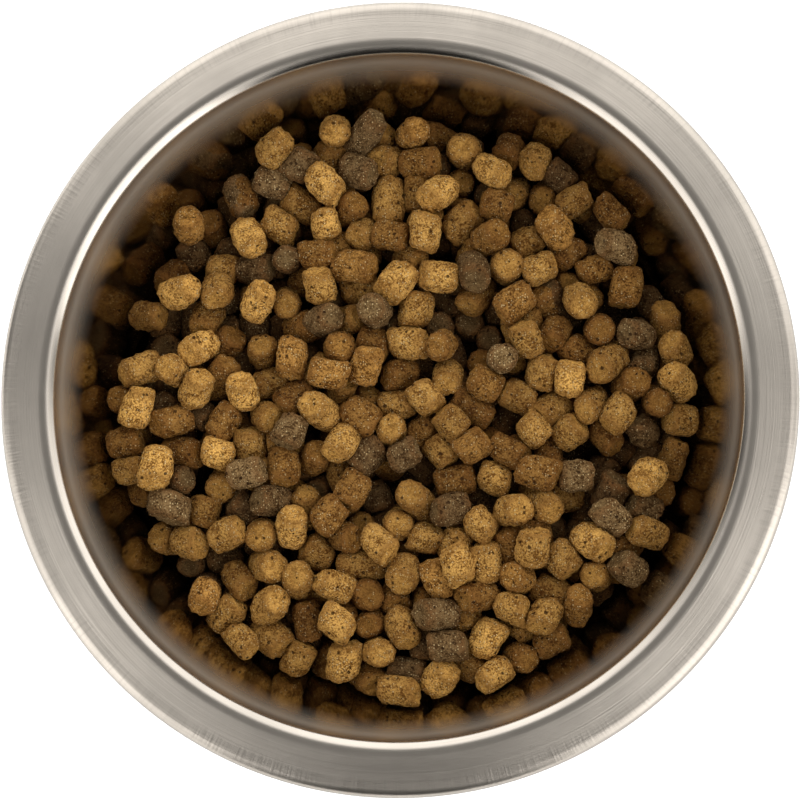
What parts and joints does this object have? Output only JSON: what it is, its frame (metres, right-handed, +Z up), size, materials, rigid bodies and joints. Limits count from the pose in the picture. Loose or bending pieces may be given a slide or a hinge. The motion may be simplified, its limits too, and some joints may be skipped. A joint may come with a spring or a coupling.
{
  "type": "pet food bowl",
  "caption": "Round drawn steel feeding bowl with sloping walls, a flat base and a wide rim rolled under at its edge, filled with short round-edged bars of dry kibble.",
  "frame": {"origin": "middle of the bowl's underside, on the bowl's axis", "axes": "+Z up, from the flat base towards the open rim; X and Y lie in the base's plane"},
  "size_m": [0.254, 0.254, 0.074],
  "materials": {
    "steel": "satin rim, polished wall",
    "kibble_golden": "matt, granular",
    "kibble_toasted": "matt, granular",
    "kibble_dark": "matt, granular"
  },
  "bodies": {
    "root": {"bowl": "steel", "kibble_01": "kibble_golden", "kibble_02": "kibble_toasted", "kibble_03": "kibble_dark", "kibble_04": "kibble_toasted", "kibble_05": "kibble_golden", "kibble_06": "kibble_toasted", "kibble_07": "kibble_dark", "kibble_08": "kibble_toasted", "kibble_09": "kibble_dark", "kibble_10": "kibble_toasted", "kibble_11": "kibble_dark", "kibble_12": "kibble_golden", "kibble_13": "kibble_toasted", "kibble_14": "kibble_golden", "kibble_15": "kibble_golden", "kibble_16": "kibble_golden", "kibble_17": "kibble_toasted", "kibble_18": "kibble_golden", "kibble_19": "kibble_golden", "kibble_20": "kibble_toasted", "kibble_21": "kibble_golden", "kibble_22": "kibble_golden", "kibble_23": "kibble_golden", "kibble_24": "kibble_toasted", "kibble_25": "kibble_toasted", "kibble_26": "kibble_golden", "kibble_27": "kibble_dark", "kibble_28": "kibble_golden", "kibble_29": "kibble_golden", "kibble_30": "kibble_golden", "kibble_31": "kibble_golden", "kibble_32": "kibble_toasted", "kibble_33": "kibble_golden", "kibble_34": "kibble_golden", "kibble_35": "kibble_golden", "kibble_36": "kibble_golden", "kibble_37": "kibble_golden", "kibble_38": "kibble_toasted", "kibble_39": "kibble_toasted", "kibble_40": "kibble_golden", "kibble_41": "kibble_dark", "kibble_42": "kibble_golden", "kibble_43": "kibble_dark", "kibble_44": "kibble_golden", "kibble_45": "kibble_golden", "kibble_46": "kibble_golden", "kibble_47": "kibble_dark", "kibble_48": "kibble_golden", "kibble_49": "kibble_dark", "kibble_50": "kibble_golden", "kibble_51": "kibble_dark", "kibble_52": "kibble_golden", "kibble_53": "kibble_toasted", "kibble_54": "kibble_toasted", "kibble_55": "kibble_toasted", "kibble_56": "kibble_golden", "kibble_57": "kibble_toasted", "kibble_58": "kibble_golden", "kibble_bed": "kibble_toasted"}
  },
  "joints": []
}
